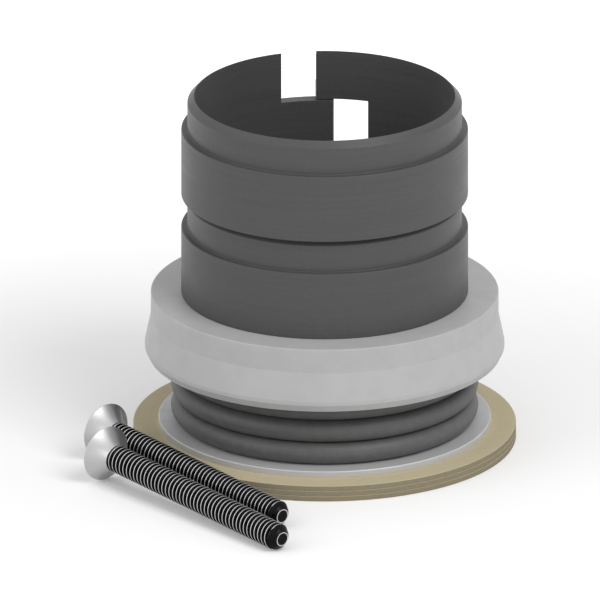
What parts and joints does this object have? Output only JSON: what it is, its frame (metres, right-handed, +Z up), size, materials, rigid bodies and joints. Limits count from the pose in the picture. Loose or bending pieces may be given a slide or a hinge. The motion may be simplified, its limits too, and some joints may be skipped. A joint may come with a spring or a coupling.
{
  "type": "rod seal",
  "caption": "Rod seal set: step-cut guide rings on a U-cup lip seal, O-rings, backing washer, flat fibre rings and countersunk screws.",
  "frame": {"origin": "on the rod's axis, at the underside of the lowest fibre ring", "axes": "+Z up the rod towards the guide rings' necks; +Y towards the guide rings' joints"},
  "size_m": [0.0994, 0.1226, 0.0833],
  "materials": {
    "guide_nylon": "turned dark-grey nylon, satin",
    "seal_rubber": "moulded light-grey polyurethane, satin",
    "o_ring_rubber": "moulded dark-grey nitrile rubber, soft sheen",
    "washer_steel": "blanked steel, light grey and dull",
    "tan_fibre": "pressed fibre sheet, tan and matte",
    "screw_steel": "steel, blackened threads and a bright-worn grey head"
  },
  "bodies": {
    "root": {"fibre_ring_lower": "tan_fibre", "fibre_ring_middle": "tan_fibre", "fibre_ring_upper": "tan_fibre", "backing_washer": "washer_steel", "o_ring_lower": "o_ring_rubber", "o_ring_middle": "o_ring_rubber", "o_ring_upper": "o_ring_rubber", "lip_seal": "seal_rubber", "guide_ring_lower": "guide_nylon", "guide_ring_upper": "guide_nylon", "screw_inner": "screw_steel", "screw_outer": "screw_steel"}
  },
  "joints": []
}
